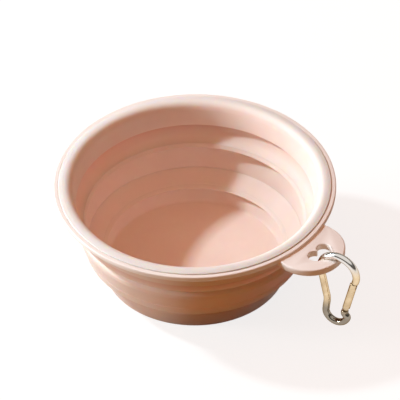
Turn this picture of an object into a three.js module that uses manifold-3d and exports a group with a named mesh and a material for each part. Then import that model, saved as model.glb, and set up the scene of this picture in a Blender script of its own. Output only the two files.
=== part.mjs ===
// Collapsible dog bowl with a rigid rim hoop, two inverting folds and a gourd-shaped snap hook.
// Millimetres, +Z up. The origin is the centre of the flat underside, and the tab points along +X.

import * as THREE from 'three';
import { mergeVertices } from 'three/addons/utils/BufferGeometryUtils.js';
import Module from 'manifold-3d';

const wasm = await Module();
wasm.setup();

// Bowl: the rim's radius, and the heights of its stacked rings and folds from the table up.
const RIM_R = 65;
const BASE_H = 12.7;
const LOWER_FOLD_H = 5;
const MIDDLE_H = 13.2;
const UPPER_FOLD_H = 6.9;
const UPPER_H = 12.2;
const LIP_RISE = 1.1;

// Thicknesses of the soft wall.
const WALL_T = 3;
const FOLD_T = 1.8;
const FLOOR_T = 3.6;

// Rim: the soft lip sits on a rigid hoop, which shows beyond it.
const LIP_W = 5.4;
const HOOP_SHOW = 2.2;
const HOOP_W = 4.8;
const HOOP_T = 2.8;

// Steps of the wall: how far each ring and fold draws in, and how far the ridges stand out.
const UPPER_TAPER = 2.3;
const FLARE_H = 2.6;
const MIDDLE_TAPER = 3.4;
const LOWER_FOLD_REACH = 6.9;
const BASE_TAPER = 2.5;
const RIDGE = 1.5;
const RIDGE_H = 1.8;
const SHOULDER = 2.3;
const FOOT_HANG = 2.5;
const NECK_DROP = 1;

// Tab with its heart-shaped hole.
const TAB_R = 16.6;
const TAB_REACH = 18.4;
const TAB_T = 3;
const TAB_STEP = 1.5;
const TAB_BEVEL = 0.7;
const HEART_LOBE_R = 3.3;
const HEART_LOBE_Y = 3.1;
const HEART_LENGTH = 7.3;
const HEART_MARGIN = 3;

// Snap hook: a bent wire with a wide top arc, a waist and a small lower loop.
const WIRE_R = 1.65;
const HOOK_TOP_R = 8.9;
const WAIST_HALF = 4.9;
const WAIST_DROP = 18.7;
const LOOP_R = 5.6;
const LOOP_DROP = 23.7;
const HOOK_OUT = 3.1;
const HOOK_YAW = THREE.MathUtils.degToRad(7);

// Gate of the hook, with its rivet, latch pin, plunger and return spring.
const GATE_R = 1.75;
const TONGUE_T = 1;
const TONGUE_R = 1.25;
const RIVET_R = 0.55;
const PIN_R = 0.4;
const LATCH_DEPTH = 1.4;
const HOOKED_END = 0.5;
const SPRING_WIRE_R = 0.14;
const SPRING_R = 0.5;
const SPRING_TURNS = 7;
const SPRING_PITCH = 0.72;
const PLUNGER_L = 1.4;

// Clearances.
const SEAM = 0.1;
const FIT = 0.3;
const NEST_GAP = 0.4;
const HANG_GAP = 0.1;
const PIN_GAP = 0.05;
const SLOT_GAP = 0.2;
const GATE_GAP = 0.35;
const BORE_GAP = 0.15;

// Facets.
const TURN_STEPS = 48;
const CORNER_STEPS = 2;
const WIRE_SIDES = 12;
const PIN_SIDES = 16;
const CURL_STEPS = 8;
const CURL_SIDES = 5;

// Radii of the rim and the rings, each worked out from the one outside it.
const hoopInR = RIM_R - HOOP_W;
const lipOutR = RIM_R - HOOP_SHOW;
const lipInR = lipOutR - LIP_W;
const upperRidgeR = lipInR - UPPER_TAPER;
const foldTopR = upperRidgeR + 0.6 * RIDGE;
const middleTopR = upperRidgeR - NEST_GAP;
const middleInR = middleTopR - WALL_T;
const middleFootR = middleTopR - MIDDLE_TAPER;
const creaseR = middleFootR - 0.5 * WALL_T;
const foldFootR = creaseR - LOWER_FOLD_REACH;
const baseInR = foldFootR - 0.4;
const baseTopR = foldFootR + SHOULDER;
const baseFootR = baseTopR - BASE_TAPER;
const baseFootInR = baseFootR - 0.7 * WALL_T;
const floorR = baseFootInR - 0.5 * WALL_T;

// Levels of the rings and the rim, each worked out from the one below it.
const creaseZ = BASE_H + LOWER_FOLD_H;
const middleTopZ = creaseZ + MIDDLE_H;
const upperFootZ = middleTopZ + UPPER_FOLD_H;
const partingZ = upperFootZ + UPPER_H;
const bowlTopZ = partingZ + LIP_RISE;
const hoopTopZ = partingZ - SEAM;
const hoopFootZ = hoopTopZ - HOOP_T;
const tabTopZ = hoopTopZ - TAB_STEP;

// Places along the tab.
const tabX = RIM_R + TAB_REACH - TAB_R;
const heartTipX = RIM_R + TAB_REACH - HEART_MARGIN;
const heartLobeX = heartTipX - HEART_LENGTH;

const silicone = { color: 0xecc9b8, roughness: 0.55, metalness: 0 };
const plastic = { color: 0xf0d6c9, roughness: 0.4, metalness: 0 };
const metal = { color: 0xd8ccb0, roughness: 0.22, metalness: 1 };

const bowl = new THREE.Group();
bowl.name = 'collapsible_bowl';

/** Adds one named mesh with a material of its own to a group. */
function addPiece(group, name, geometry, look) {
  const piece = new THREE.Mesh(geometry, new THREE.MeshStandardMaterial(look));
  piece.name = name;
  group.add(piece);
  return piece;
}

/** Keeps positions only, joins equal corners and drops triangles that have no area. */
function weld(geometry) {
  const bare = new THREE.BufferGeometry();
  bare.setAttribute('position', geometry.getAttribute('position'));
  if (geometry.index) {
    bare.setIndex(geometry.index);
  }
  const joined = mergeVertices(bare, 1e-4);
  const corners = joined.index.array;
  const kept = [];
  for (let i = 0; i < corners.length; i += 3) {
    const [a, b, c] = [corners[i], corners[i + 1], corners[i + 2]];
    if (a !== b && b !== c && c !== a) {
      kept.push(a, b, c);
    }
  }
  joined.setIndex(kept);
  return joined;
}

/** Turns a closed geometry into a solid that can be joined and cut. */
function solid(geometry) {
  const welded = weld(geometry);
  const mesh = new wasm.Mesh({
    numProp: 3,
    vertProperties: new Float32Array(welded.getAttribute('position').array),
    triVerts: new Uint32Array(welded.index.array),
  });
  return new wasm.Manifold(mesh);
}

/** Turns a solid back into a geometry. */
function surface(body) {
  const mesh = body.getMesh();
  const geometry = new THREE.BufferGeometry();
  geometry.setAttribute('position', new THREE.BufferAttribute(mesh.vertProperties, 3));
  geometry.setIndex(new THREE.BufferAttribute(mesh.triVerts, 1));
  geometry.computeVertexNormals();
  return geometry;
}

/** Closed outline through corners given as [across, up, rounding]. */
function outline(corners, steps = CORNER_STEPS) {
  const path = new THREE.Path();
  const at = corners.map(([across, up]) => new THREE.Vector2(across, up));
  corners.forEach(([, , rounding = 0], i) => {
    const here = at[i];
    const before = at[(i + at.length - 1) % at.length];
    const after = at[(i + 1) % at.length];
    const from = here.clone().sub(before);
    const to = after.clone().sub(here);
    const enter = here.clone().addScaledVector(from.normalize(), -rounding);
    const leave = here.clone().addScaledVector(to.normalize(), rounding);
    if (i === 0) {
      path.moveTo(enter.x, enter.y);
    } else {
      path.lineTo(enter.x, enter.y);
    }
    if (rounding > 0) {
      path.quadraticCurveTo(here.x, here.y, leave.x, leave.y);
    }
  });
  const points = path.getPoints(steps);
  points.push(points[0].clone());
  return points;
}

/** Turns an outline, listed anticlockwise as radius and height, about the Z axis. */
function lathe(points, steps = TURN_STEPS) {
  return weld(new THREE.LatheGeometry(points, steps).rotateX(Math.PI / 2));
}

/** Plate of a given thickness whose shape lies in the XZ plane, centred on y = 0. */
function uprightPlate(shape, thickness) {
  const plate = new THREE.ExtrudeGeometry(shape, {
    depth: thickness,
    bevelEnabled: false,
    curveSegments: 8,
  });
  return plate.translate(0, 0, -thickness / 2).rotateX(Math.PI / 2);
}

/** Round bar along the Y axis through a point of the XZ plane. */
function crossBar(radius, length, place) {
  return new THREE.CylinderGeometry(radius, radius, length, PIN_SIDES).translate(place.x, 0, place.z);
}

/** Round wire along a curve. */
function sweptWire(curve, radius, steps, sides) {
  const ring = new THREE.Shape().absarc(0, 0, radius, 0, 2 * Math.PI);
  return new THREE.ExtrudeGeometry(ring, {
    steps,
    curveSegments: sides,
    extrudePath: curve,
    bevelEnabled: false,
  });
}

/** Soft lip: the rounded bead that is seen from above. */
function rimLip() {
  return lathe(outline([
    [lipInR, partingZ],
    [lipOutR, partingZ],
    [lipOutR, bowlTopZ, 0.9 * LIP_RISE],
    [lipInR, bowlTopZ, 0.9 * LIP_RISE],
  ], 2 * CORNER_STEPS));
}

/** Upper ring of the wall, from under the lip to the first ridge. */
function upperWall() {
  const neckR = hoopInR - FIT;
  const neckZ = hoopFootZ - NECK_DROP;
  return lathe(outline([
    [foldTopR, upperFootZ],
    [foldTopR + FOLD_T, upperFootZ, 0.5],
    [neckR - 0.3, neckZ],
    [neckR, neckZ + 0.6],
    [neckR, hoopTopZ],
    [lipInR, hoopTopZ],
    [upperRidgeR + 0.5 * UPPER_TAPER, hoopTopZ - FLARE_H, 0.8],
    [upperRidgeR, upperFootZ + RIDGE, 0.7],
  ]));
}

/** Upper fold: the thin web that turns inside out when the bowl is pressed flat. */
function upperFold() {
  return lathe(outline([
    [middleInR, middleTopZ + SEAM],
    [middleInR + FOLD_T, middleTopZ + SEAM],
    [foldTopR + FOLD_T, upperFootZ - SEAM],
    [foldTopR, upperFootZ - SEAM],
  ]));
}

/** Middle ring of the wall, with the sharp second ridge on its top. */
function middleWall() {
  const ridgeZ = middleTopZ - RIDGE_H;
  const footZ = creaseZ - FOOT_HANG;
  return lathe(outline([
    [creaseR, footZ + 0.4],
    [middleFootR, footZ, 0.6],
    [middleTopR, ridgeZ - RIDGE_H, 0.8],
    [middleTopR, ridgeZ, 0.8],
    [middleInR + FOLD_T, middleTopZ],
    [middleInR, middleTopZ],
    [middleInR - RIDGE, ridgeZ, 0.3],
    [middleInR, ridgeZ - RIDGE_H, 0.6],
    [creaseR, creaseZ],
  ]));
}

/** Lower fold, the second web, between the middle ring and the base. */
function lowerFold() {
  const outR = creaseR - SEAM;
  const inR = foldFootR + SEAM;
  return lathe(outline([
    [inR, BASE_H - 1.1 * FOLD_T],
    [outR, creaseZ - 1.1 * FOLD_T],
    [outR, creaseZ - SEAM],
    [inR, BASE_H],
  ]));
}

/** Wall of the base, with the third ridge on its top and the foot at its underside. */
function baseWall() {
  const ridgeZ = BASE_H - 0.8 * RIDGE_H;
  return lathe(outline([
    [floorR + SEAM, 0],
    [baseFootR, 0, 0.8],
    [baseTopR, ridgeZ - 1.5 * RIDGE_H, 0.5],
    [baseTopR, ridgeZ - RIDGE_H, 0.4],
    [foldFootR, BASE_H - 1.1 * FOLD_T],
    [foldFootR, BASE_H],
    [baseInR - RIDGE, ridgeZ, 0.3],
    [baseInR, ridgeZ - RIDGE_H, 0.6],
    [baseFootInR, FLOOR_T, 0.7],
    [floorR + SEAM, FLOOR_T],
  ]));
}

/** Flat floor of the bowl, whose underside is what it stands on. */
function baseFloor() {
  return new THREE.CylinderGeometry(floorR, floorR, FLOOR_T, TURN_STEPS)
    .rotateX(Math.PI / 2)
    .translate(0, 0, FLOOR_T / 2);
}

// Directions of the heart's outline, seen from its point.
const lobeBearing = Math.atan2(HEART_LOBE_Y, HEART_LENGTH);
const edgeBearing = lobeBearing + Math.asin(HEART_LOBE_R / Math.hypot(HEART_LENGTH, HEART_LOBE_Y));

/** Heart with its lobes towards the bowl and its point outwards. */
function heartShape() {
  const start = Math.PI / 2 - edgeBearing;
  const notch = Math.acos(HEART_LOBE_Y / HEART_LOBE_R) + Math.PI / 2;
  const heart = new THREE.Shape();
  heart.absarc(heartLobeX, HEART_LOBE_Y, HEART_LOBE_R, start, 2 * Math.PI - notch);
  heart.absarc(heartLobeX, -HEART_LOBE_Y, HEART_LOBE_R, notch, 2 * Math.PI - start);
  heart.lineTo(heartTipX, 0);
  heart.closePath();
  return heart;
}

/** Rigid hoop under the lip, in one piece with the round tab and its heart-shaped hole. */
function rimHoop() {
  const ring = lathe(outline([
    [hoopInR, hoopFootZ],
    [RIM_R, hoopFootZ, 0.9],
    [RIM_R, hoopTopZ, 1],
    [hoopInR, hoopTopZ],
  ]));
  const disc = new THREE.Shape().absarc(tabX, 0, TAB_R - TAB_BEVEL, 0, 2 * Math.PI);
  const tab = new THREE.ExtrudeGeometry(disc, {
    depth: TAB_T - 2 * TAB_BEVEL,
    curveSegments: 20,
    bevelThickness: TAB_BEVEL,
    bevelSize: TAB_BEVEL,
    bevelSegments: 2,
  }).translate(0, 0, tabTopZ - TAB_T + TAB_BEVEL);
  const mouth = new THREE.CylinderGeometry(hoopInR, hoopInR, 4 * TAB_T, TURN_STEPS)
    .rotateX(Math.PI / 2)
    .translate(0, 0, tabTopZ);
  const heart = new THREE.ExtrudeGeometry(heartShape(), {
    depth: 2 * TAB_T,
    curveSegments: 8,
    bevelEnabled: false,
  }).translate(0, 0, tabTopZ - 1.5 * TAB_T);
  return surface(solid(tab).subtract(solid(mouth)).add(solid(ring)).subtract(solid(heart)));
}

// The hook is drawn in its own XZ plane, about the centre of its top arc.
const waist = new THREE.Vector3(WAIST_HALF, 0, -WAIST_DROP);
const sideBearing = Math.acos(HOOK_TOP_R / waist.length()) + Math.atan2(waist.z, waist.x);
const nose = new THREE.Vector3(Math.cos(sideBearing), 0, Math.sin(sideBearing)).multiplyScalar(HOOK_TOP_R);
const gateAxis = nose.clone().sub(waist).normalize();
const gateAcross = new THREE.Vector3(gateAxis.z, 0, -gateAxis.x);
const gateLength = nose.distanceTo(waist) - GATE_GAP;
const gateTilt = Math.atan2(gateAxis.x, gateAxis.z);
const pinAlong = gateLength - LATCH_DEPTH;
const slotFloor = TONGUE_R + 2 * SLOT_GAP;
const tongueReach = GATE_GAP + LATCH_DEPTH + PIN_R + SLOT_GAP + HOOKED_END;

/** Point of the gate: along its axis from the rivet, and across it, outwards. */
function onGate(along, across = 0) {
  return waist.clone().addScaledVector(gateAxis, along).addScaledVector(gateAcross, across);
}

/** Centre line of the bent wire, from the nose over the top, down the spine and round the loop. */
function wireCurve() {
  const points = [];
  const topSteps = 14;
  for (let i = 0; i <= topSteps; i += 1) {
    const angle = THREE.MathUtils.lerp(sideBearing, Math.PI - sideBearing, i / topSteps);
    points.push(new THREE.Vector3(HOOK_TOP_R * Math.cos(angle), 0, HOOK_TOP_R * Math.sin(angle)));
  }
  for (const share of [0.35, 0.7, 0.92]) {
    const side = nose.clone().lerp(waist, share);
    points.push(side.setX(-side.x));
  }
  const loopSteps = 10;
  for (let i = 0; i <= loopSteps; i += 1) {
    const angle = THREE.MathUtils.lerp(Math.PI, 1.95 * Math.PI, i / loopSteps);
    points.push(new THREE.Vector3(LOOP_R * Math.cos(angle), 0, LOOP_R * Math.sin(angle) - LOOP_DROP));
  }
  points.push(onGate(-2.4 * WIRE_R), onGate(-GATE_R - 2 * SLOT_GAP));
  return new THREE.CatmullRomCurve3(points, false, 'centripetal');
}

/** Flat shape between two places along the gate, rounded about the far end if asked. */
function tongueShape(from, to, halfWidth, rounded) {
  const shape = new THREE.Shape();
  const corners = [onGate(from, -halfWidth), onGate(from, halfWidth), onGate(to, halfWidth)];
  corners.forEach((corner, i) => {
    const draw = i === 0 ? 'moveTo' : 'lineTo';
    shape[draw](corner.x, corner.z);
  });
  if (rounded) {
    const middle = onGate(to);
    shape.absarc(middle.x, middle.z, halfWidth, -gateTilt, Math.PI - gateTilt);
  } else {
    const last = onGate(to, -halfWidth);
    shape.lineTo(last.x, last.z);
  }
  shape.closePath();
  return shape;
}

/** Bent wire with its two flattened ends: the hinge tongue and the hooked latch tongue. */
function hookBody() {
  const wire = sweptWire(wireCurve(), WIRE_R, 72, WIRE_SIDES);
  const hingeTongue = uprightPlate(tongueShape(-1.8 * WIRE_R, 0, TONGUE_R, true), TONGUE_T);
  const joint = gateLength + GATE_GAP;
  const latchTongue = uprightPlate(
    tongueShape(joint + 0.5 * WIRE_R, joint - tongueReach, 0.7 * GATE_R, false),
    TONGUE_T,
  );
  const catchHalf = PIN_R + SLOT_GAP;
  const latchCatch = new THREE.BoxGeometry(2 * GATE_R, 2 * TONGUE_T, 2 * catchHalf)
    .translate(catchHalf - GATE_R, 0, 0)
    .rotateY(gateTilt);
  const catchPlace = onGate(pinAlong);
  latchCatch.translate(catchPlace.x, 0, catchPlace.z);
  const rivetHole = crossBar(RIVET_R + PIN_GAP, 2 * TONGUE_T, waist);
  return surface(
    solid(wire)
      .add(solid(latchTongue).subtract(solid(latchCatch)))
      .add(solid(hingeTongue))
      .subtract(solid(rivetHole)),
  );
}

/** Places a geometry that was drawn along +Z on the gate's axis. */
function layOnGate(geometry) {
  return geometry.rotateY(gateTilt).translate(waist.x, 0, waist.z);
}

/** Gate: a round bar, slotted at both ends and bored for its spring. */
function gateBar() {
  const dome = [];
  for (let i = 0; i <= 4; i += 1) {
    const angle = (i / 4 - 1) * (Math.PI / 2);
    dome.push(new THREE.Vector2(GATE_R * Math.cos(angle), GATE_R * Math.sin(angle)));
  }
  dome[0].x = 0;
  const bar = layOnGate(lathe(
    [...dome, new THREE.Vector2(GATE_R, gateLength), new THREE.Vector2(0, gateLength)],
    PIN_SIDES,
  ));
  const slotT = TONGUE_T + 2 * SLOT_GAP;
  const slots = [
    [-2 * GATE_R, slotFloor],
    [gateLength + GATE_GAP - tongueReach - SLOT_GAP, gateLength + GATE_R],
  ].map(([from, to]) => {
    const slot = new THREE.BoxGeometry(4 * GATE_R, slotT, to - from).translate(0, 0, (from + to) / 2);
    return solid(layOnGate(slot));
  });
  const boreR = SPRING_R + SPRING_WIRE_R + BORE_GAP;
  const boreEnd = slotFloor + PLUNGER_L + SPRING_TURNS * SPRING_PITCH + 8 * SPRING_WIRE_R;
  const bore = new THREE.CylinderGeometry(boreR, boreR, boreEnd, PIN_SIDES)
    .rotateX(Math.PI / 2)
    .translate(0, 0, boreEnd / 2);
  const rivetHole = crossBar(RIVET_R + PIN_GAP, 4 * GATE_R, waist);
  const pinHole = crossBar(PIN_R + PIN_GAP, 4 * GATE_R, onGate(pinAlong));
  return surface(
    solid(bar)
      .subtract(slots[0])
      .subtract(slots[1])
      .subtract(solid(layOnGate(bore)))
      .subtract(solid(rivetHole))
      .subtract(solid(pinHole)),
  );
}

/** Plunger: the small pin that the spring presses against the hinge tongue. */
function gatePlunger() {
  const radius = SPRING_R + SPRING_WIRE_R;
  const bottom = TONGUE_R + SLOT_GAP;
  const pin = new THREE.CylinderGeometry(radius, 0.6 * radius, PLUNGER_L, PIN_SIDES)
    .rotateX(Math.PI / 2)
    .translate(0, 0, bottom + PLUNGER_L / 2);
  return layOnGate(pin);
}

/** Return spring in the gate's bore, one unbroken coil with straight ends. */
function gateSpring() {
  const start = TONGUE_R + SLOT_GAP + PLUNGER_L + 3 * SPRING_WIRE_R;
  const points = [];
  const steps = SPRING_TURNS * CURL_STEPS;
  for (let i = 0; i <= steps; i += 1) {
    const angle = (2 * Math.PI * i) / CURL_STEPS;
    const rise = start + (SPRING_PITCH * i) / CURL_STEPS;
    points.push(new THREE.Vector3(SPRING_R * Math.cos(angle), SPRING_R * Math.sin(angle), rise));
  }
  let leastGap = Infinity;
  points.forEach((point, i) => {
    for (let j = i + CURL_STEPS / 2; j < points.length; j += 1) {
      leastGap = Math.min(leastGap, point.distanceTo(points[j]) - 2 * SPRING_WIRE_R);
    }
  });
  console.log(`gate_spring: least gap to itself ${leastGap.toFixed(2)} mm`);
  const first = points[0].clone().sub(points[1]).setZ(0).setLength(2 * SPRING_WIRE_R);
  const last = points[steps].clone().sub(points[steps - 1]).setZ(0).setLength(2 * SPRING_WIRE_R);
  points.unshift(points[0].clone().add(first));
  points.push(points[points.length - 1].clone().add(last));
  const coil = new THREE.CatmullRomCurve3(points, false, 'centripetal');
  return layOnGate(weld(sweptWire(coil, SPRING_WIRE_R, points.length - 1, CURL_SIDES)));
}

addPiece(bowl, 'rim_hoop', rimHoop(), plastic);
addPiece(bowl, 'rim_lip', rimLip(), silicone);
addPiece(bowl, 'upper_wall', upperWall(), silicone);
addPiece(bowl, 'upper_fold', upperFold(), silicone);
addPiece(bowl, 'middle_wall', middleWall(), silicone);
addPiece(bowl, 'lower_fold', lowerFold(), silicone);
addPiece(bowl, 'base_wall', baseWall(), silicone);
addPiece(bowl, 'base_floor', baseFloor(), silicone);

/** Least distance from the wire's centre line to the heart's straight edges, when hung this low. */
function edgeDistance(hang) {
  const upwards = new THREE.Vector3(0, 0, 1);
  const samples = 60;
  let least = Infinity;
  for (let i = 0; i <= samples; i += 1) {
    const along = (i / samples) * HEART_LENGTH;
    for (const side of [-1, 1]) {
      const edge = new THREE.Vector3(-Math.cos(edgeBearing), side * Math.sin(edgeBearing), 0);
      edge.multiplyScalar(along).applyAxisAngle(upwards, -HOOK_YAW);
      const inPlane = Math.hypot(edge.x - HOOK_OUT, hang) - HOOK_TOP_R;
      least = Math.min(least, Math.hypot(inPlane, edge.y));
    }
  }
  return least;
}

// The hook hangs by its top arc from the strip of tab outside the heart, turned about the heart's point.
const hook = new THREE.Group();
hook.name = 'snap_hook';
let hang = 0.4 * HOOK_TOP_R;
while (hang < HOOK_TOP_R && edgeDistance(hang) > WIRE_R + HANG_GAP) {
  hang += 0.01;
}
hook.position.set(
  heartTipX + HOOK_OUT * Math.cos(HOOK_YAW),
  HOOK_OUT * Math.sin(HOOK_YAW),
  tabTopZ - hang,
);
hook.rotation.z = HOOK_YAW;
bowl.add(hook);

addPiece(hook, 'hook_body', hookBody(), metal);
addPiece(hook, 'gate_rivet', crossBar(RIVET_R, 2 * GATE_R, waist), metal);
addPiece(hook, 'hook_gate', gateBar(), metal);
addPiece(hook, 'latch_pin', crossBar(PIN_R, 1.8 * GATE_R, onGate(pinAlong)), metal);
addPiece(hook, 'gate_plunger', gatePlunger(), metal);
addPiece(hook, 'gate_spring', gateSpring(), metal);

export default bowl;
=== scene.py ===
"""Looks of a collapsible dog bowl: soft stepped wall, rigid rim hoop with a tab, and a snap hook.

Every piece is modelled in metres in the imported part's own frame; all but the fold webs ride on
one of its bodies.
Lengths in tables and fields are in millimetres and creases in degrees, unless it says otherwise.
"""

import logging
import math
from dataclasses import dataclass, field
from enum import Enum
from typing import Callable, Sequence

import bmesh
import bpy
from mathutils import Matrix, Vector


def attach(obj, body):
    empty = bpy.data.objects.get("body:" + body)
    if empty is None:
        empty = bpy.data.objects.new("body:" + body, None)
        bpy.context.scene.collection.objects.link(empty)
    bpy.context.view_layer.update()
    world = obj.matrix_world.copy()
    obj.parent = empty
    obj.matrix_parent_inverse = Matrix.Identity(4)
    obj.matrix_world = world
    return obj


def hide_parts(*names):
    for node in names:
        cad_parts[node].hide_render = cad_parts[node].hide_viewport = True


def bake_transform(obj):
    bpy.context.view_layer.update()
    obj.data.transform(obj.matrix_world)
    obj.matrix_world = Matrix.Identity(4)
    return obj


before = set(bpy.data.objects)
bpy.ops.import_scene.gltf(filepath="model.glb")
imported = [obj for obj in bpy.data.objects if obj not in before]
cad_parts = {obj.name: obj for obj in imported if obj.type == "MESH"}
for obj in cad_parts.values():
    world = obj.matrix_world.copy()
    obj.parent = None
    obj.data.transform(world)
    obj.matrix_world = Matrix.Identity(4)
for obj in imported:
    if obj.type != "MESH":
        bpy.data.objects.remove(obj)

LOG = logging.getLogger("bowl")

# Metres in a millimetre, and how near two places in metres count as one
MM = 0.001
MERGE_WITHIN = 1e-7
LEVEL_WITHIN = 1e-6

# Angle of a sharp edge in degrees, and steps of roundings and of full turns
SHARP_ABOVE = 50.0
ROUNDING_STEPS = 7
TURNING_STEPS = 192

# The middle of a noise's range, where nearly all of its values lie
NOISE_RANGE = (0.3, 0.7)

Ends = tuple[float, float]
Colour = tuple[float, float, float]
Stops = Sequence[tuple[float, Colour]]
Piece = bpy.types.Object
Material = bpy.types.Material
Socket = bpy.types.NodeSocket


class Body(Enum):
    """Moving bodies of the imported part."""

    BASE = "base"
    MIDDLE = "middle"
    RIM = "rim"
    HOOK = "hook"
    GATE = "gate"


class Slot(Enum):
    """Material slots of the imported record."""

    SOFT_WALL = "soft_wall"
    HOOP = "hoop"
    HOOK = "hook"
    SPRING = "spring"


class Cut(Enum):
    """What a Boolean modifier does with its second mesh."""

    AWAY = "DIFFERENCE"
    TOGETHER = "UNION"


class Element(Enum):
    """Elements of a mesh that can be selected, with the mesh's name for them."""

    VERT = "verts"
    EDGE = "edges"


# Modelling tools


@dataclass(frozen=True)
class Corner:
    """Corner of a section or a plate outline, with the radius that rounds it."""

    across: float
    up: float
    radius: float = 0.0


def corners(*rows: tuple[float, ...]) -> list[Corner]:
    """Lists corners from rows of across, up and, where it isn't 0, radius."""
    return [Corner(*row) for row in rows]


def rounded(section: Sequence[Corner]) -> list[Vector]:
    """Draws an outline through corners and rounds each by its radius.

    Args:
        section: the corners, in order.

    Returns:
        Points in metres, as (across, 0, up).
    """
    places = [Vector((c.across, 0.0, c.up)) for c in section]
    points: list[Vector] = []
    for i, corner in enumerate(section):
        here = places[i]
        if corner.radius <= 0:
            points.append(here * MM)
            continue
        back = places[i - 1] - here
        ahead = places[(i + 1) % len(places)] - here
        half = 0.5 * back.angle(ahead)
        reach = corner.radius / math.tan(half)
        back.normalize()
        ahead.normalize()
        centre = here + (back + ahead).normalized() * (corner.radius / math.sin(half))
        first = here + back * reach - centre
        last = here + ahead * reach - centre
        for k in range(ROUNDING_STEPS + 1):
            way = first.slerp(last, k / ROUNDING_STEPS).normalized()
            points.append((centre + way * corner.radius) * MM)
    return points


def level_arc(
    centre: tuple[float, float, float], radius: float, first: float, last: float, steps: int
) -> list[Vector]:
    """Lists points of an arc in a level plane.

    Args:
        centre: its centre.
        radius: its radius.
        first: angle of its first point from the X axis, in radians.
        last: angle of its last point.
        steps: steps between the two.

    Returns:
        Points in millimetres, with both ends.
    """
    x, y, z = centre
    angles = [first + (last - first) * i / steps for i in range(steps + 1)]
    return [Vector((x + radius * math.cos(a), y + radius * math.sin(a), z)) for a in angles]


def upright(angle: float) -> Vector:
    """Gives the direction at an angle above the X axis, in the XZ plane."""
    return Vector((math.cos(angle), 0.0, math.sin(angle)))


def start_fresh() -> None:
    """Leaves edit mode and deselects everything, the CAD nodes among it."""
    if bpy.context.object is not None and bpy.context.object.mode != "OBJECT":
        bpy.ops.object.mode_set(mode="OBJECT")
    bpy.ops.object.select_all(action="DESELECT")


def select_only(piece: Piece) -> None:
    """Leaves edit mode and makes one piece the only selected and the active one.

    Args:
        piece: the piece.
    """
    start_fresh()
    piece.select_set(True)
    bpy.context.view_layer.objects.active = piece


def draw_outline(name: str, points: Sequence[Vector]) -> Piece:
    """Draws a chain of edges by extruding one vertex from point to point.

    Args:
        name: name of the new piece.
        points: the chain's points, in metres.

    Returns:
        The new piece, in edit mode.
    """
    start_fresh()
    bpy.ops.mesh.primitive_plane_add(size=MM)
    piece = bpy.context.object
    piece.name = name
    piece.data.name = name
    bpy.ops.object.mode_set(mode="EDIT")
    bpy.ops.mesh.select_mode(type="VERT")
    bpy.ops.mesh.select_all(action="SELECT")
    bpy.ops.mesh.merge(type="CENTER")
    bpy.ops.transform.translate(value=points[0])
    for before, after in zip(points, points[1:]):
        bpy.ops.mesh.extrude_vertices_move(TRANSFORM_OT_translate={"value": after - before})
    return piece


def select_where(piece: Piece, kind: Element, test: Callable[[object], bool]) -> int:
    """Selects the elements of a piece in edit mode that pass a test.

    Args:
        piece: the piece in edit mode.
        kind: the kind of element.
        test: says whether an element is wanted.

    Returns:
        How many were selected.
    """
    bpy.ops.mesh.select_mode(type=kind.name)
    bpy.ops.mesh.select_all(action="DESELECT")
    mesh = bmesh.from_edit_mesh(piece.data)
    chosen = [element for element in getattr(mesh, kind.value) if test(element)]
    for element in chosen:
        element.select_set(True)
    bmesh.update_edit_mesh(piece.data)
    return len(chosen)


def close_chain(piece: Piece) -> None:
    """Joins the two loose ends of the chain that is being drawn."""
    select_where(piece, Element.VERT, lambda v: len(v.link_edges) == 1)
    bpy.ops.mesh.edge_face_add()


def tidy_faces() -> None:
    """Merges doubles of the mesh in edit mode and turns its faces outwards."""
    bpy.ops.mesh.select_all(action="SELECT")
    bpy.ops.mesh.remove_doubles(threshold=MERGE_WITHIN)
    bpy.ops.mesh.normals_make_consistent(inside=False)


def smooth(piece: Piece, crease: float) -> None:
    """Shades a piece smooth, except over its creases.

    Args:
        piece: the piece.
        crease: angle above which an edge stays a crease, in degrees.
    """
    select_only(piece)
    bpy.ops.object.shade_smooth_by_angle(angle=math.radians(crease))
    bpy.ops.object.select_all(action="DESELECT")


def turned(name: str, points: Sequence[Vector], steps: int = TURNING_STEPS) -> Piece:
    """Turns a section about the Z axis. A section that starts off the axis is closed first.

    Args:
        name: name of the new piece.
        points: the section's points as (radius, 0, height), in metres.
        steps: steps in the full turn.

    Returns:
        The new piece, in object mode.
    """
    piece = draw_outline(name, points)
    if points[0].x > 0:
        close_chain(piece)
    bpy.ops.mesh.select_all(action="SELECT")
    bpy.ops.mesh.spin(steps=steps, angle=2 * math.pi, center=(0, 0, 0), axis=(0, 0, 1))
    tidy_faces()
    start_fresh()
    return piece


def raised(name: str, points: Sequence[Vector], lift: Vector) -> Piece:
    """Fills an outline and extrudes it into a plate.

    Args:
        name: name of the new piece.
        points: the outline's points, in metres.
        lift: how far and which way the face is extruded, in metres.

    Returns:
        The new piece, in edit mode.
    """
    piece = draw_outline(name, points)
    bpy.ops.mesh.select_all(action="SELECT")
    bpy.ops.mesh.edge_face_add()
    bpy.ops.mesh.extrude_region_move(TRANSFORM_OT_translate={"value": lift})
    tidy_faces()
    return piece


def bevel_where(
    piece: Piece, test: Callable[[object], bool], width: float, segments: int
) -> None:
    """Bevels the edges of a piece in edit mode that pass a test.

    Args:
        piece: the piece in edit mode.
        test: says whether an edge is wanted.
        width: width of the bevel, in millimetres.
        segments: faces across it.
    """
    if select_where(piece, Element.EDGE, test):
        bpy.ops.mesh.bevel(offset=width * MM, segments=segments)


def is_sharp(edge: object, degrees: float = SHARP_ABOVE) -> bool:
    """Whether an edge joins two faces at more than an angle."""
    return len(edge.link_faces) == 2 and edge.calc_face_angle(0.0) > math.radians(degrees)


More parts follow.
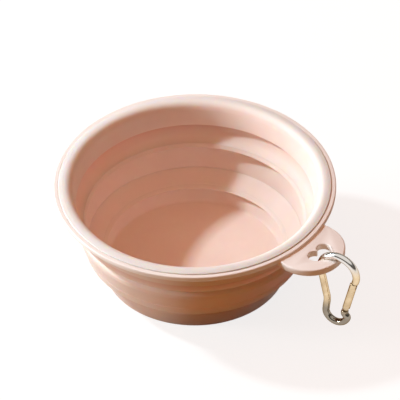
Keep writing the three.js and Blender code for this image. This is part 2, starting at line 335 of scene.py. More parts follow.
def boolean(piece: Piece, other: Piece, cut: Cut) -> None:
    """Joins another mesh to a piece or takes it away, and removes that mesh.

    Args:
        piece: the piece that stays.
        other: the mesh that is used up.
        cut: what is done with it.
    """
    select_only(piece)
    bpy.ops.object.modifier_add(type="BOOLEAN")
    tool = piece.modifiers[-1]
    tool.object = other
    tool.operation = cut.value
    tool.solver = "EXACT"
    bpy.ops.object.modifier_apply(modifier=tool.name)
    bpy.data.objects.remove(other)


def join_into(piece: Piece, others: Sequence[Piece]) -> None:
    """Joins other meshes into a piece as they are.

    Args:
        piece: the piece that stays.
        others: the meshes that become part of it.
    """
    select_only(piece)
    for other in others:
        other.select_set(True)
    bpy.ops.object.join()


def settle(piece: Piece, place: Matrix) -> None:
    """Moves a piece and puts its place into its mesh.

    Args:
        piece: the piece.
        place: the matrix that moves it, in metres.
    """
    select_only(piece)
    piece.matrix_world = place @ piece.matrix_world
    bpy.ops.object.transform_apply(location=True, rotation=True, scale=True)


# Finishes


class Wiring:
    """Node tree of a material or the world, with short calls to add and join its nodes."""

    def __init__(self, owner: Material | bpy.types.World) -> None:
        """Starts with an empty tree.

        Args:
            owner: the material or world.
        """
        owner.use_nodes = True
        self.tree = owner.node_tree
        self.tree.nodes.clear()

    def fill(self, node: bpy.types.Node, inputs: dict[str | int, object]) -> None:
        """Joins each input to a socket, or sets its value.

        Args:
            node: the node.
            inputs: the socket or value of each input, by its name or number.
        """
        for key, source in inputs.items():
            if isinstance(source, Socket):
                self.tree.links.new(source, node.inputs[key])
            else:
                node.inputs[key].default_value = source

    def add(
        self, kind: str, inputs: dict[str | int, object] | None = None, operation: str = ""
    ) -> bpy.types.Node:
        """Adds a node.

        Args:
            kind: its type, without the common start of the name.
            inputs: the socket or value of each input, by its name or number.
            operation: what it works out, if it is a node for sums.

        Returns:
            The new node.
        """
        node = self.tree.nodes.new(f"ShaderNode{kind}")
        if operation:
            node.operation = operation
        self.fill(node, inputs or {})
        return node

    def sums(self, operation: str, *terms: Socket | float) -> Socket:
        """Works out one value from others."""
        return self.add("Math", dict(enumerate(terms)), operation).outputs["Value"]

    def axes(self, place: Socket) -> bpy.types.NodeOutputs:
        """Divides a place into its X, Y and Z."""
        return self.add("SeparateXYZ", {"Vector": place}).outputs

    def ramp(self, value: Socket, stops: Stops) -> Socket:
        """Turns a value into a colour.

        Args:
            value: the value that is read.
            stops: places from 0 to 1 with their colours.

        Returns:
            The colour.
        """
        node = self.add("ValToRGB", {"Fac": value})
        bar = node.color_ramp.elements
        given = len(bar)
        for i, (place, colour) in enumerate(stops):
            stop = bar[i] if i < given else bar.new(place)
            stop.position = place
            stop.color = (*colour, 1.0)
        return node.outputs["Color"]


@dataclass(frozen=True)
class Noise:
    """Noise on a piece's own coordinates, with its fineness per metre, octaves and stretch."""

    per_metre: float
    octaves: float = 2.0
    stretch: tuple[float, float, float] | None = None


@dataclass(frozen=True)
class Relief:
    """Noise that is pressed into a surface, with its strength from 0 to 1 and its depth."""

    pattern: Noise
    strength: float
    depth: float


class Board(Wiring):
    """Wiring of a surface with one shader, and the patterns and zones that feed it."""

    def __init__(self, name: str) -> None:
        """Starts a material with a surface shader and its output.

        Args:
            name: name of the material.
        """
        self.material = bpy.data.materials.new(name)
        super().__init__(self.material)
        self.place = self.add("TexCoord").outputs["Object"]
        self.shader = self.add("BsdfPrincipled")
        self.add("OutputMaterial", {"Surface": self.shader.outputs["BSDF"]})

    def finish(self, **inputs: object) -> Material:
        """Fills the shader's inputs.

        Args:
            inputs: their sockets or values, by names in lower case with underscores.

        Returns:
            The finished material.
        """
        names = {name.lower().replace(" ", "_"): name for name in self.shader.inputs.keys()}
        self.fill(self.shader, {names[key]: source for key, source in inputs.items()})
        return self.material

    def noise(self, pattern: Noise) -> Socket:
        """Adds noise.

        Args:
            pattern: what it is like.

        Returns:
            Its value, from 0 to 1.
        """
        place = self.place
        if pattern.stretch is not None:
            stretched = self.add("Mapping", {"Vector": place, "Scale": pattern.stretch})
            place = stretched.outputs["Vector"]
        inputs = {"Vector": place, "Scale": pattern.per_metre, "Detail": pattern.octaves}
        return self.add("TexNoise", inputs).outputs["Fac"]

    def mapped(self, value: Socket, start: float, stop: float, ends: Ends = (0.0, 1.0)) -> Socket:
        """Maps a value from one range to another and holds it between its ends.

        Args:
            value: the value.
            start: where its range starts.
            stop: where its range stops.
            ends: first and last value of the new range.

        Returns:
            The new value.
        """
        inputs = {"Value": value, "From Min": start, "From Max": stop}
        inputs |= {"To Min": ends[0], "To Max": ends[1]}
        return self.add("MapRange", inputs).outputs["Result"]

    def clouds(self, pattern: Noise, one: Colour, other: Colour, at: Ends = NOISE_RANGE) -> Socket:
        """Gives a colour that noise varies from one tone to another, between two of its values."""
        return self.ramp(self.noise(pattern), [(at[0], one), (at[1], other)])

    def spread(self, pattern: Noise, ends: Ends) -> Socket:
        """Gives a value that noise varies between two ends."""
        return self.mapped(self.noise(pattern), *NOISE_RANGE, ends)

    def height(self, start: float, stop: float) -> Socket:
        """Gives a value that goes from 0 to 1 between two heights of the part."""
        return self.mapped(self.axes(self.place)["Z"], start * MM, stop * MM)

    def outside(self, slope: float, start: float, stop: float) -> Socket:
        """Gives a value that goes from 0 to 1 outwards across a cone about the Z axis.

        Args:
            slope: how fast the cone widens with height.
            start: radius of the cone at its foot where the value is 0.
            stop: radius there where the value is 1.

        Returns:
            The value.
        """
        axes = self.axes(self.place)
        flat = self.add("CombineXYZ", {"X": axes["X"], "Y": axes["Y"]}).outputs["Vector"]
        reach = self.add("VectorMath", {0: flat}, "LENGTH").outputs["Value"]
        foot = self.sums("MULTIPLY_ADD", axes["Z"], -slope, reach)
        return self.mapped(foot, start * MM, stop * MM)

    def blend(self, share: Socket, one: Socket, other: Colour) -> Socket:
        """Blends a colour towards another one by a share."""
        inputs = {"Fac": share, "Color1": one, "Color2": (*other, 1.0)}
        return self.add("MixRGB", inputs).outputs["Color"]

    def bump(self, relief: Relief) -> Socket:
        """Gives the normal of a surface with a relief.

        Args:
            relief: the relief.

        Returns:
            The normal.
        """
        inputs = {"Strength": relief.strength, "Distance": relief.depth * MM}
        inputs |= {"Height": self.noise(relief.pattern)}
        return self.add("Bump", inputs).outputs["Normal"]


@dataclass(frozen=True)
class SoftSilicone:
    """Matte peach silicone, faintly clouded, with a fine moulded grain."""

    deep: Colour = (0.845, 0.685, 0.60)
    pale: Colour = (0.875, 0.73, 0.645)
    cloud: Noise = Noise(55, 3)
    # Painted highlight: the lip is drawn paler, as light falling on its top would make it
    painted_lip_highlight: Colour = (0.92, 0.845, 0.79)
    painted_lip_highlight_heights: Ends = (48.6, 50.2)
    # Painted shade: the outer band of the base is drawn darker, where the middle ring above shades
    # it
    foot: Colour = (0.74, 0.55, 0.46)
    painted_foot_shade_heights: Ends = (10.7, 10.2)
    painted_foot_shade_slope: float = 0.27
    painted_foot_shade_radii: Ends = (41.9, 42.3)
    # Painted shade: the upper fold's recess under the upper ring's ridge is drawn deeper in tone
    fold: Colour = (0.80, 0.565, 0.475)
    painted_fold_shade_starts: Ends = (33.0, 37.5)
    painted_fold_shade_stops: Ends = (38.6, 38.3)
    haze: Noise = Noise(240)
    roughness: Ends = (0.44, 0.56)
    grain: Relief = Relief(Noise(1500), 0.12, 0.05)

    def material(self) -> Material:
        """Makes the material, with a painted highlight that pales the lip and painted shade that
        deepens the outer foot and the fold's recess.

        Returns:
            The material.
        """
        board = Board("peach_silicone")
        # Painted shade mask: the outer band of the base, below the middle ring
        low = board.height(*self.painted_foot_shade_heights)
        foot = board.sums("MULTIPLY", low, board.outside(self.painted_foot_shade_slope, *self.painted_foot_shade_radii))
        # Painted shade mask: the band of the upper fold's recess
        above = board.height(*self.painted_fold_shade_starts)
        fold = board.sums("MULTIPLY", above, board.height(*self.painted_fold_shade_stops))
        # Painted highlight mask: the lip
        lip = board.height(*self.painted_lip_highlight_heights)
        tone = board.clouds(self.cloud, self.deep, self.pale)
        tone = board.blend(foot, tone, self.foot)
        tone = board.blend(fold, tone, self.fold)
        return board.finish(
            base_color=board.blend(lip, tone, self.painted_lip_highlight),
            roughness=board.spread(self.haze, self.roughness),
            normal=board.bump(self.grain),
            ior=1.42,
            specular_ior_level=0.25,
            sheen_weight=0.1,
            sheen_roughness=0.5,
            subsurface_weight=0.45,
            subsurface_radius=(1.0, 0.45, 0.25),
            subsurface_scale=0.0022,
        )


@dataclass(frozen=True)
class SatinPlastic:
    """Pale peach plastic with a satin moulded skin."""

    deep: Colour = (0.93, 0.86, 0.80)
    pale: Colour = (0.96, 0.90, 0.84)
    cloud: Noise = Noise(70, 3)
    haze: Noise = Noise(300)
    roughness: Ends = (0.32, 0.42)
    skin: Relief = Relief(Noise(2200), 0.08, 0.03)

    def material(self) -> Material:
        """Makes the material.

        Returns:
            The material.
        """
        board = Board("peach_plastic")
        return board.finish(
            base_color=board.clouds(self.cloud, self.deep, self.pale),
            roughness=board.spread(self.haze, self.roughness),
            normal=board.bump(self.skin),
            ior=1.5,
        )


@dataclass(frozen=True)
class PlatedWire:
    """Bright plated wire with a warm tint, drawing marks and handling haze."""

    bright: Colour = (0.87, 0.71, 0.47)
    worn: Colour = (0.60, 0.45, 0.27)
    wear: Noise = Noise(260, 4)
    wear_range: Ends = (0.35, 0.75)
    # Painted reflection: the top arc is drawn whiter, as if it mirrored a bright sky
    painted_arc_reflection: Colour = (0.80, 0.77, 0.73)
    painted_arc_reflection_heights: Ends = (45.0, 50.0)
    # Painted reflection: the small loop is drawn darker, as if it mirrored dark surroundings
    painted_dark_loop_reflection: Colour = (0.34, 0.30, 0.24)
    painted_dark_loop_reflection_heights: Ends = (25.0, 19.5)
    glance: Colour = (0.45, 0.32, 0.18)
    haze: Noise = Noise(420, 3)
    roughness: Ends = (0.08, 0.18)
    marks: Relief = Relief(Noise(1800, 2, (1.0, 1.0, 0.15)), 0.05, 0.02)

    def material(self) -> Material:
        """Makes the material, with a painted reflection that whitens the top arc and another that
        darkens the small loop.

        Returns:
            The material.
        """
        board = Board("plated_wire")
        tone = board.clouds(self.wear, self.bright, self.worn, self.wear_range)
        # Painted dark reflection on the small loop
        tone = board.blend(board.height(*self.painted_dark_loop_reflection_heights), tone, self.painted_dark_loop_reflection)
        return board.finish(
            # Painted reflection whitens the top arc
            base_color=board.blend(board.height(*self.painted_arc_reflection_heights), tone, self.painted_arc_reflection),
            roughness=board.spread(self.haze, self.roughness),
            normal=board.bump(self.marks),
            metallic=1.0,
            specular_tint=(*self.glance, 1.0),
        )


@dataclass(frozen=True)
class SpringSteel:
    """Plain drawn steel of the parts inside the gate."""

    clean: Colour = (0.58, 0.58, 0.57)
    oiled: Colour = (0.40, 0.39, 0.37)
    film: Noise = Noise(900, 3)
    film_range: Ends = (0.3, 0.75)
    haze: Noise = Noise(1400)
    roughness: Ends = (0.25, 0.4)

    def material(self) -> Material:
        """Makes the material.

        Returns:
            The material.
        """
        board = Board("spring_steel")
        return board.finish(
            base_color=board.clouds(self.film, self.clean, self.oiled, self.film_range),
            roughness=board.spread(self.haze, self.roughness),
            metallic=1.0,
        )


@dataclass
class Finishes:
    """The materials of the object, made once."""

    silicone: Material = field(default_factory=SoftSilicone().material)
    plastic: Material = field(default_factory=SatinPlastic().material)
    plating: Material = field(default_factory=PlatedWire().material)
    steel: Material = field(default_factory=SpringSteel().material)


def dress(piece: Piece, material: Material) -> None:
    """Gives a piece its material.

    Args:
        piece: the piece.
        material: its material.
    """
    piece.data.materials.clear()
    piece.data.materials.append(material)


# Sub-assemblies


@dataclass
class SoftRing:
    """Thick ring of the soft wall, turned from one section."""

    name: str
    body: Body
    stands_for: tuple[str, ...]
    section: list[Corner]
    crease: float = 35.0

    def build(self, finishes: Finishes) -> Piece:
        """Turns, smooths, dresses and mounts the ring.

        Args:
            finishes: the object's materials.

        Returns:
            The finished ring.
        """
        piece = turned(self.name, rounded(self.section))
        smooth(piece, self.crease)
        dress(piece, finishes.silicone)
        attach(piece, self.body.value)
        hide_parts(*self.stands_for)
        return piece


@dataclass
class FoldWeb:
    """Thin web that turns inside out between two rings, with its ends buried in them."""

    name: str
    stands_for: str
    lower: Body
    upper: Body
    low: float
    high: float
    section: list[Corner]
    step: float = 0.5
    crease: float = 30.0

    def outline(self) -> list[Vector]:
        """Draws the section with its long sides divided, so that they bend smoothly.

        Returns:
            Points in metres, as (radius, 0, height).
        """
        ends = rounded(self.section)
        points = []
        for here, there in zip(ends, ends[1:] + ends[:1]):
            parts = max(1, round((there - here).length / (self.step * MM)))
            points += [here.lerp(there, i / parts) for i in range(parts)]
        return points

    def build(self, finishes: Finishes) -> Piece:
        """Turns, smooths and dresses the web.

        Args:
            finishes: the object's materials.

        Returns:
            The finished web.
        """
        piece = turned(self.name, self.outline())
        smooth(piece, self.crease)
        dress(piece, finishes.silicone)
        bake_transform(piece)
        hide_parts(self.stands_for)
        return piece


@dataclass
class RimHoop:
    """Rigid hoop under the lip, in one piece with the round tab and its heart-shaped hole."""

    outer: float = 65.0
    inner: float = 60.2
    inner_round: float = 0.3
    top: float = 49.95
    top_round: float = 0.55
    foot: float = 47.1
    foot_round: float = 1.1
    groove_in: float = 62.7
    groove_out: float = 63.02
    groove_deep: float = 0.3
    groove_round: float = 0.12
    tab_centre: float = 66.8
    tab_radius: float = 16.6
    tab_steps: int = 96
    tab_top: float = 48.9
    tab_thick: float = 3.5
    tab_bevel: float = 0.7
    seat: float = 62.6
    seat_steps: int = 16
    seat_margin: float = 1.5
    heart_lobe_x: float = 73.1
    heart_lobe_y: float = 3.1
    heart_lobe_r: float = 3.3
    heart_steps: int = 32
    heart_tip: float = 80.4
    heart_bevel: float = 0.35
    heart_margin: float = 1.6
    crease: float = 35.0

    def tab_outline(self) -> list[Vector]:
        """Draws the tab: an arc outside the hoop, and a seat along the middle of the hoop.

        Returns:
            Points in metres, at the tab's underside.
        """
        x = (self.seat**2 - self.tab_radius**2 + self.tab_centre**2) / (2 * self.tab_centre)
        y = math.sqrt(self.seat**2 - x**2)
        z = self.tab_top - self.tab_thick
        sweep = math.atan2(y, x - self.tab_centre)
        centre = (self.tab_centre, 0.0, z)
        edge = level_arc(centre, self.tab_radius, -sweep, sweep, self.tab_steps)
        sweep = math.atan2(y, x)
        seat = level_arc((0.0, 0.0, z), self.seat, sweep, -sweep, self.seat_steps)
        return [p * MM for p in edge + seat[1:-1]]

    def heart_outline(self, z: float) -> list[Vector]:
        """Draws the heart, with its lobes towards the bowl and its point outwards.

        Args:
            z: height of the outline, in millimetres.

        Returns:
            Points in metres.
        """
        length = self.heart_tip - self.heart_lobe_x
        bearing = math.atan2(self.heart_lobe_y, length)
        bearing += math.asin(self.heart_lobe_r / math.hypot(length, self.heart_lobe_y))
        first = math.pi / 2 - bearing
        notch = math.acos(self.heart_lobe_y / self.heart_lobe_r) + math.pi / 2
        last = 2 * math.pi - notch
        centre = (self.heart_lobe_x, self.heart_lobe_y, z)
        lobe = level_arc(centre, self.heart_lobe_r, first, last, self.heart_steps)
        mirrored = [Vector((p.x, -p.y, p.z)) for p in reversed(lobe[:-1])]
        return [p * MM for p in [Vector((self.heart_tip, 0.0, z)), *lobe, *mirrored]]

    def off_seat(self, edge: object) -> bool:
        """Whether an edge of the tab is sharp and lies outside the seat."""
        nearest = min(v.co.xy.length for v in edge.verts)
        return is_sharp(edge) and nearest > (self.seat + self.seat_margin) * MM

    def at_hole(self, edge: object) -> bool:
        """Whether an edge of the tab runs level round the hole.

        Args:
            edge: the edge.

        Returns:
            Whether it does.
        """
        one, other = (v.co for v in edge.verts)
        centre = Vector((self.tab_centre, 0.0)) * MM
        within = (self.tab_radius - self.heart_margin) * MM
        level = abs(one.z - other.z) < LEVEL_WITHIN
        near = all((p.xy - centre).length < within for p in (one, other))
        return level and near and self.off_seat(edge)

    def make_tab(self) -> Piece:
        """Makes the tab with its hole and its rounded edges.

        Returns:
            The tab, in object mode.
        """
        thick = self.tab_thick
        tab = raised("rim_tab", self.tab_outline(), Vector((0, 0, thick * MM)))
        bevel_where(tab, self.off_seat, self.tab_bevel, segments=4)
        # The cutter stands out by half the tab's thickness on both sides
        below = self.heart_outline(self.tab_top - 1.5 * thick)
        heart = raised("heart_cutter", below, Vector((0, 0, 2 * thick * MM)))
        boolean(tab, heart, Cut.AWAY)
        bpy.ops.object.mode_set(mode="EDIT")
        bevel_where(tab, self.at_hole, self.heart_bevel, segments=3)
        start_fresh()
        return tab

    def build(self, finishes: Finishes) -> Piece:
        """Makes the hoop, joins the tab to it and mounts it.

        Args:
            finishes: the object's materials.

        Returns:
            The finished hoop.
        """
        section = corners(
            (self.inner, self.foot, self.inner_round),
            (self.outer, self.foot, self.foot_round),
            (self.outer, self.top, self.top_round),
            (self.groove_out, self.top, self.groove_round),
            (self.groove_out, self.top - self.groove_deep),
            (self.groove_in, self.top - self.groove_deep),
            (self.groove_in, self.top),
            (self.inner, self.top, self.inner_round),
        )
        piece = turned("rim_hoop_band", rounded(section))
        boolean(piece, self.make_tab(), Cut.TOGETHER)
        smooth(piece, self.crease)
        dress(piece, finishes.plastic)
        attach(piece, Body.RIM.value)
        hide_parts("rim_hoop")
        return piece


@dataclass
class CrossPin:
    """Short round pin with domed ends, laid across the hook's gate.

    The gate's matrix takes a piece drawn up the Z axis to the gate's line.
    """

    name: str
    stands_for: str
    body: Body
    gate: Matrix
    radius: float
    length: float
    along: float
    dome: float = 0.12
    shoulder: float = 0.05
    shoulder_share: float = 0.7
    edge: float = 0.15
    steps: int = 28
    crease: float = 50.0

    def build(self, finishes: Finishes) -> Piece:
        """Turns, lays, dresses and mounts the pin.

        Args:
            finishes: the object's materials.

        Returns:
            The finished pin.
        """
        half = 0.5 * self.length
        shoulder = self.shoulder_share * self.radius
        section = corners(
            (0.0, -half - self.dome),
            (shoulder, -half - self.shoulder),
            (self.radius, -half + self.edge),
            (self.radius, half - self.edge),
            (shoulder, half + self.shoulder),
            (0.0, half + self.dome),
        )
        pin = turned(self.name, rounded(section), self.steps)
        across = Matrix.Rotation(math.pi / 2, 4, "X")
        settle(pin, self.gate @ (Matrix.Translation((0, 0, self.along * MM)) @ across))
        smooth(pin, self.crease)
        dress(pin, finishes.plating)
        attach(pin, self.body.value)
        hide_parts(self.stands_for)
        return pin


@dataclass
class SnapHook:
    """Gourd-shaped hook of bent wire with a sprung gate, drawn about the centre of its top arc.

    Reaches of the wire's ends are in wire radii, spans of the pins in gate radii, and the loop's
    turn in half turns.
    """

    place: Vector = field(default_factory=lambda: Vector((83.477, 0.378, 42.27)))
    yaw: float = math.radians(7)
    wire: float = 1.65
    wire_steps: int = 6
    wire_sharp: float = 60.0
    wire_end: float = 0.25
    wire_crease: float = 40.0
    top_radius: float = 8.9
    top_steps: int = 14
    swell: float = 0.14
    bulge: float = 0.9
    bulge_bearing: float = math.radians(35)
    spine_shares: tuple[float, ...] = (0.35, 0.7, 0.92)
    waist_half: float = 4.9
    waist_drop: float = 18.7
    loop_radius: float = 5.6
    loop_drop: float = 23.7
    loop_lean: float = 0.5
    loop_turn: float = 0.95
    loop_steps: int = 10
    hinge_reach: float = 2.4
    tongue_reach: float = 2.2
    tongue_thick: float = 1.0
    tongue_half: float = 1.25
    tongue_bevel: float = 0.12
    latch_share: float = 0.7
    latch_depth: float = 1.4
    latch_round: float = 0.2
    catch_round: float = 0.3
    hooked_end: float = 0.5
    gate_radius: float = 1.75
    gate_steps: int = 48
    gate_round: float = 0.98
    gate_edge: float = 0.25
    gate_crease: float = 35.0
    gate_gap: float = 0.35
    slot_gap: float = 0.2
    slot_reach: float = 3.0
    rivet_radius: float = 0.55
    rivet_span: float = 2.0
    pin_radius: float = 0.4
    pin_span: float = 1.8

    def __post_init__(self) -> None:
        """Works out the gate's line from the waist to the nose."""
        self.waist = Vector((self.waist_half, 0.0, -self.waist_drop))
        self.side = math.acos(self.top_radius / self.waist.length)
        self.side += math.atan2(self.waist.z, self.waist.x)
        self.nose = upright(self.side) * self.top_radius
        self.gate_axis = (self.nose - self.waist).normalized()
        self.gate_tilt = math.atan2(self.gate_axis.x, self.gate_axis.z)
        self.gate_length = (self.nose - self.waist).length - self.gate_gap
        self.pin_along = self.gate_length - self.latch_depth
        reach = self.gate_gap + self.latch_depth + self.pin_radius + self.slot_gap + self.hooked_end
        self.tongue_from = self.gate_length + self.gate_gap - reach

    def hung(self) -> Matrix:
        """Gives the matrix from the hook's own plane, in metres, to the part's frame."""
        return Matrix.Translation(self.place * MM) @ Matrix.Rotation(self.yaw, 4, "Z")

    def on_gate(self) -> Matrix:
        """Gives the matrix from a piece drawn up the Z axis to the gate's line."""
        at_waist = self.hung() @ Matrix.Translation(self.waist * MM)
        return at_waist @ Matrix.Rotation(self.gate_tilt, 4, "Y")

    def wire_points(self) -> list[tuple[Vector, float]]:
        """Lists points of the wire's middle line, from the nose round to the hinge.

        Returns:
            Points in metres, in the hook's own plane, each with its share of the wire's radius.
        """
        points = []
        for i in range(self.top_steps + 1):
            angle = self.side + (math.pi - 2 * self.side) * i / self.top_steps
            more = self.swell * math.sin(math.pi * i / self.top_steps)
            out = self.bulge * max(0.0, math.cos(angle - self.bulge_bearing)) ** 2
            points.append((upright(angle) * (self.top_radius + more + out), 1 + more / self.wire))
        for share in self.spine_shares:
            spot = self.nose.lerp(self.waist, share)
            points.append((Vector((-spot.x, 0.0, spot.z)), 1.0))
        for i in range(self.loop_steps + 1):
            angle = math.pi * (1 + self.loop_turn * i / self.loop_steps)
            lean = self.loop_lean * math.sin(math.pi * i / self.loop_steps)
            spot = upright(angle) * (self.loop_radius + lean)
            points.append((spot - Vector((lean, 0, self.loop_drop)), 1.0))
        for along in (-self.hinge_reach * self.wire, -self.gate_radius - 2 * self.slot_gap):
            points.append((self.waist + self.gate_axis * along, 1.0))
        return [(spot * MM, share) for spot, share in points]

    def make_wire(self) -> Piece:
        """Bends the round wire along its middle line.

        Returns:
            The wire, in the part's frame.
        """
        start_fresh()
        bpy.ops.curve.primitive_bezier_curve_add()
        wire = bpy.context.object
        wire.name = "hook_wire"
        curve = wire.data
        curve.splines.clear()
        spline = curve.splines.new("BEZIER")
        points = self.wire_points()
        spline.bezier_points.add(len(points) - 1)
        for knot, (spot, share) in zip(spline.bezier_points, points):
            knot.co = spot
            knot.radius = share
            knot.handle_left_type = "AUTO"
            knot.handle_right_type = "AUTO"
        spline.resolution_u = self.wire_steps
        curve.bevel_depth = self.wire * MM
        curve.bevel_resolution = self.wire_steps
        curve.use_fill_caps = True
        curve.twist_mode = "MINIMUM"
        select_only(wire)
        bpy.ops.object.convert(target="MESH")
        wire = bpy.context.object
        bpy.ops.object.mode_set(mode="EDIT")
        tidy_faces()
        bevel_where(wire, lambda e: is_sharp(e, self.wire_sharp), self.wire_end, segments=3)
        settle(wire, self.hung())
        return wire

    def tongue(self, name: str, section: Sequence[Corner]) -> Piece:
        """Makes a flat tongue on the gate's line.

        Args:
            name: name of the new mesh.
            section: its corners, across the gate and along it.

        Returns:
            The tongue, in the part's frame.
        """
        plate = raised(name, rounded(section), Vector((0, self.tongue_thick * MM, 0)))
        bevel_where(plate, is_sharp, self.tongue_bevel, segments=2)
        middle = Matrix.Translation((0, -0.5 * self.tongue_thick * MM, 0))
        settle(plate, self.on_gate() @ middle)
        return plate

    def build_body(self, finishes: Finishes) -> Piece:
        """Makes the bent wire with its hinge and latch tongues.

        Args:
            finishes: the object's materials.

        Returns:
            The finished hook body.
        """
        wire = self.make_wire()
        half = self.tongue_half
        foot = -self.tongue_reach * self.wire
        hinge = corners((-half, foot), (half, foot), (half, half, half), (-half, half, half))
        arm = self.latch_share * self.gate_radius
        grip = self.pin_radius + self.slot_gap
        tip = self.tongue_from
        top = self.gate_length + self.gate_gap + 0.5 * self.wire
        latch = corners(
            (-arm, tip, self.latch_round),
            (arm, tip, self.latch_round),
            (arm, top),
            (-arm, top),
            (-arm, self.pin_along + grip),
            (grip, self.pin_along + grip, self.catch_round),
            (grip, self.pin_along - grip, self.catch_round),
            (-arm, self.pin_along - grip),
        )
        tongues = [self.tongue("hinge_tongue", hinge), self.tongue("latch_tongue", latch)]
        join_into(wire, tongues)
        smooth(wire, self.wire_crease)
        dress(wire, finishes.plating)
        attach(wire, Body.HOOK.value)
        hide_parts("hook_body")
        return wire

    def pins(self) -> tuple[CrossPin, CrossPin]:
        """Lists the rivet on which the gate turns, and the pin that the latch tongue catches.

        Returns:
            The rivet and the pin.
        """
        gate = self.on_gate()
        rivet = (self.rivet_radius, self.rivet_span * self.gate_radius, 0.0)
        pin = (self.pin_radius, self.pin_span * self.gate_radius, self.pin_along)
        return (
            CrossPin("gate_hinge_rivet", "gate_rivet", Body.HOOK, gate, *rivet),
            CrossPin("gate_latch_pin", "latch_pin", Body.GATE, gate, *pin),
        )

    def build_gate(self, finishes: Finishes) -> Piece:
        """Makes the gate, a round bar that is slotted at both ends for the tongues.

        Args:
            finishes: the object's materials.

        Returns:
            The finished gate.
        """
        radius = self.gate_radius
        section = corners(
            (0.0, -radius),
            (radius, -radius, self.gate_round * radius),
            (radius, self.gate_length, self.gate_edge),
            (0.0, self.gate_length),
        )
        bar = turned("gate_bar", rounded(section), self.gate_steps)
        slot_half = 0.5 * self.tongue_thick + self.slot_gap
        hinge_slot = (-2 * radius, self.tongue_half + 2 * self.slot_gap)
        latch_slot = (self.tongue_from - self.slot_gap, self.gate_length + radius)
        wide = self.slot_reach
        for low, high in (hinge_slot, latch_slot):
            block = corners((-wide, low), (wide, low), (wide, high), (-wide, high))
            cutter = raised("slot_cutter", rounded(block), Vector((0, 2 * slot_half * MM, 0)))
            settle(cutter, Matrix.Translation((0, -slot_half * MM, 0)))
            boolean(bar, cutter, Cut.AWAY)
        settle(bar, self.on_gate())
        smooth(bar, self.gate_crease)
        dress(bar, finishes.plating)
        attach(bar, Body.GATE.value)
        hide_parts("hook_gate")
        return bar


def soft_rings() -> list[SoftRing]:
    """Lists the thick rings of the wall, from the rim down.

    Returns:
        The upper ring with its lip, the middle ring, and the base with its floor.
    """
    upper = corners(
        (57.0, 37.8, 0.2), (57.8, 37.8, 0.5), (59.6, 46.1, 0.4), (59.9, 46.8, 0.4),
        (59.9, 49.85), (62.8, 49.85), (62.8, 50.36, 0.3), (60.9, 50.6, 3.0), (57.9, 50.65, 3.6),
        (56.2, 47.6, 7.0), (54.85, 39.3, 0.35), (56.8, 38.5, 0.3),
    )
    middle = corners(
        (49.8, 15.6, 0.3), (51.3, 15.2, 0.4), (52.5, 19.5, 0.3), (52.3, 19.8, 0.2),
        (52.72, 20.15, 0.3), (54.7, 27.3, 1.2), (54.7, 29.2, 1.0), (53.5, 30.9, 0.4),
        (51.4, 30.9), (50.1, 29.1, 0.3), (52.9, 27.4, 1.2), (49.8, 17.7, 0.6),
    )
    base = corners(
        (0.0, 0.0), (42.7, 0.0, 0.8), (45.2, 8.6, 0.6), (45.2, 9.6, 0.5), (42.9, 10.7),
        (42.9, 12.7, 0.15), (40.9, 11.3, 0.3), (43.2, 9.4, 1.0), (40.6, 3.6, 1.4), (0.0, 3.6),
    )
    return [
        SoftRing("upper_ring", Body.RIM, ("upper_wall", "rim_lip"), upper),
        SoftRing("middle_ring", Body.MIDDLE, ("middle_wall",), middle),
        SoftRing("base_cup", Body.BASE, ("base_wall", "base_floor"), base),
    ]


def fold_webs() -> list[FoldWeb]:
    """Lists the two webs that fold.

    Returns:
        The upper and the lower web.
    """
    upper = corners(
        (51.8, 30.2), (51.45, 30.9), (54.9, 32.7, 9.0), (57.0, 38.0), (57.2, 38.5),
        (57.6, 38.5), (57.75, 37.8), (56.0, 33.0, 9.0), (53.45, 30.9), (53.1, 30.2),
    )
    lower = corners(
        (42.4, 11.9), (42.95, 12.64), (46.5, 14.85, 40.0), (49.75, 17.52), (50.4, 17.2),
        (50.5, 16.4), (50.2, 16.0), (43.4, 11.1), (42.4, 11.1),
    )
    return [
        FoldWeb("upper_web", "upper_fold", Body.MIDDLE, Body.RIM, 30.9, 37.8, upper),
        FoldWeb("lower_web", "lower_fold", Body.BASE, Body.MIDDLE, 11.8, 16.7, lower),
    ]


# Surroundings


@dataclass(frozen=True)
class Lamp:
    """Square soft lamp that faces the bowl.

    Its bearing, anticlockwise from the picture's right, and its height above the horizon are in
    degrees. Its side is in metres.
    """

    name: str
    bearing: float
    height: float
    side: float
    watts: float
    tint: Colour

    def way(self) -> Vector:
        """Gives the direction that it stands in, in the camera's upright frame.

        Returns:
            The direction, of length 1.
        """
        turn, lift = math.radians(self.bearing), math.radians(self.height)
        flat = math.cos(lift)
        return Vector((math.cos(turn) * flat, math.sin(turn) * flat, math.sin(lift)))


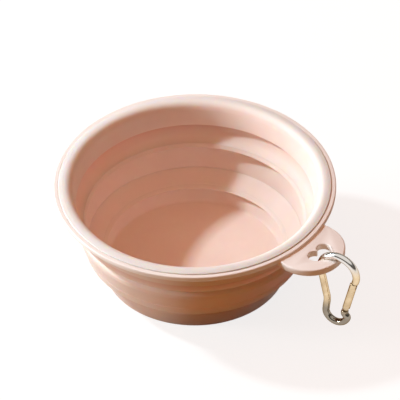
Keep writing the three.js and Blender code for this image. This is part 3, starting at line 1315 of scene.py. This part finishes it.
@dataclass
class Studio:
    """Plain pale floor, soft light and the photograph's camera.

    Distances are in metres, apart from the camera's aim and lens. Rays that show the background
    see other tones of the floor and the walls than those that light the bowl.
    """

    turn: float = math.radians(40.2)
    lift: float = math.radians(40.88)
    roll: float = math.radians(-0.44)
    lens: float = 300.0
    distance: float = 1.5386
    aim: Vector = field(default_factory=lambda: Vector((2.36, 0.0, 39.55)))
    floor_size: float = 40.0
    floor_level: float = -0.0002
    floor_tone: Colour = (0.385, 0.18, 0.03)
    floor_shown: Colour = (0.25, 0.235, 0.22)
    floor_glow: float = 0.82
    dome: Stops = (
        (0.35, (0.11, 0.055, 0.02)),
        (1.0, (0.765, 0.335, 0.185)),
    )
    walls: Stops = (
        (0.12, (1.0, 1.0, 1.0)),
        (0.25, (0.12, 0.10, 0.08)),
        (0.6, (0.1, 0.098, 0.096)),
        (0.74, (0.9, 0.882, 0.864)),
    )
    lamps: tuple[Lamp, ...] = (
        Lamp("key_lamp", 163, 38.9, 0.12, 24.4, (0.73, 0.89, 1.0)),
        Lamp("side_lamp", 183, 12, 0.4, 17.0, (0.86, 0.94, 1.0)),
    )
    lamp_reach: float = 1.6
    lamp_aim: float = 0.025

    def in_part(self, seen: Vector) -> Vector:
        """Turns a direction from the camera's upright frame into the part's frame."""
        return Matrix.Rotation(self.turn, 3, "Z") @ seen

    def add_camera(self) -> None:
        """Sets up the camera at the photograph's angle."""
        level = self.in_part(Vector((1, 0, 0)))
        back = self.in_part(Vector((0, -math.cos(self.lift), math.sin(self.lift))))
        plumb = back.cross(level)
        right = math.cos(self.roll) * level + math.sin(self.roll) * plumb
        up = math.cos(self.roll) * plumb - math.sin(self.roll) * level
        place = self.in_part(self.aim * MM) + back * self.distance
        data = bpy.data.cameras.new("photo_camera")
        data.lens = self.lens
        camera = bpy.data.objects.new("photo_camera", data)
        bpy.context.scene.collection.objects.link(camera)
        axes = Matrix((right, up, back)).transposed().to_4x4()
        camera.matrix_world = Matrix.Translation(place) @ axes
        bpy.context.scene.camera = camera

    def add_lamp(self, lamp: Lamp) -> None:
        """Adds a lamp, which the camera doesn't see.

        Args:
            lamp: the lamp.
        """
        data = bpy.data.lights.new(lamp.name, "AREA")
        data.shape = "SQUARE"
        data.size = lamp.side
        data.energy = lamp.watts
        data.color = lamp.tint
        light = bpy.data.objects.new(lamp.name, data)
        bpy.context.scene.collection.objects.link(light)
        way = self.in_part(lamp.way())
        place = way * self.lamp_reach + Vector((0, 0, self.lamp_aim))
        facing = way.to_track_quat("Z", "Y").to_matrix().to_4x4()
        light.matrix_world = Matrix.Translation(place) @ facing
        light.visible_camera = False

    def shown_rays(self, wiring: Wiring) -> Socket:
        """Adds a value that is 1 on rays that show the background: camera, glossy and clear ones.

        Args:
            wiring: wiring of the floor or the world.

        Returns:
            The value.
        """
        path = wiring.add("LightPath").outputs
        shown = path["Is Camera Ray"]
        for name in ("Is Glossy Ray", "Is Transmission Ray"):
            shown = wiring.sums("MAXIMUM", shown, path[name])
        return shown

    def add_floor(self) -> None:
        """Lays the pale floor, which keeps the object's shadow."""
        start_fresh()
        bpy.ops.mesh.primitive_plane_add(size=self.floor_size, location=(0, 0, self.floor_level))
        floor = bpy.context.object
        floor.name = "floor"
        material = bpy.data.materials.new("pale_floor")
        wiring = Wiring(material)
        shown = self.shown_rays(wiring)
        coat = wiring.ramp(shown, [(0.0, self.floor_tone), (1.0, self.floor_shown)])
        paint = wiring.add("BsdfDiffuse", {"Color": coat}).outputs["BSDF"]
        strength = wiring.sums("MULTIPLY", shown, self.floor_glow)
        inputs = {"Color": (1.0, 1.0, 1.0, 1.0), "Strength": strength}
        glow = wiring.add("Emission", inputs).outputs["Emission"]
        both = wiring.add("AddShader", {0: paint, 1: glow}).outputs["Shader"]
        wiring.add("OutputMaterial", {"Surface": both})
        floor.data.materials.append(material)

    def add_world(self) -> None:
        """Makes the surroundings: pale walls where they show, dim soft light elsewhere."""
        world = bpy.data.worlds.new("studio")
        bpy.context.scene.world = world
        wiring = Wiring(world)
        height = wiring.axes(wiring.add("TexCoord").outputs["Generated"])["Z"]
        walls = wiring.add("Background", {"Color": wiring.ramp(height, self.walls)})
        dome = wiring.add("Background", {"Color": wiring.ramp(height, self.dome)})
        shown = self.shown_rays(wiring)
        mix = wiring.add("MixShader", {0: shown, 1: dome.outputs[0], 2: walls.outputs[0]})
        wiring.add("OutputWorld", {"Surface": mix.outputs[0]})

    def build(self) -> None:
        """Sets up the view, the floor and the light."""
        bpy.context.scene.view_settings.view_transform = "Standard"
        self.add_camera()
        self.add_floor()
        self.add_world()
        for lamp in self.lamps:
            self.add_lamp(lamp)


def main() -> None:
    """Builds every piece in order, logs its faces and sets the stage."""
    logging.basicConfig(level=logging.INFO, format="%(name)s: %(message)s")
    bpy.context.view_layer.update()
    finishes = Finishes()
    hook = SnapHook()
    rivet, latch_pin = hook.pins()
    makers = [
        *(ring.build for ring in soft_rings()),
        *(web.build for web in fold_webs()),
        RimHoop().build,
        hook.build_body,
        rivet.build,
        hook.build_gate,
        latch_pin.build,
    ]
    for make in makers:
        piece = make(finishes)
        LOG.info("%s: %d faces", piece.name, len(piece.data.polygons))
    for node in ("gate_plunger", "gate_spring"):
        dress(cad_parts[node], finishes.steel)
    Studio().build()


if __name__ == "__main__":
    main()
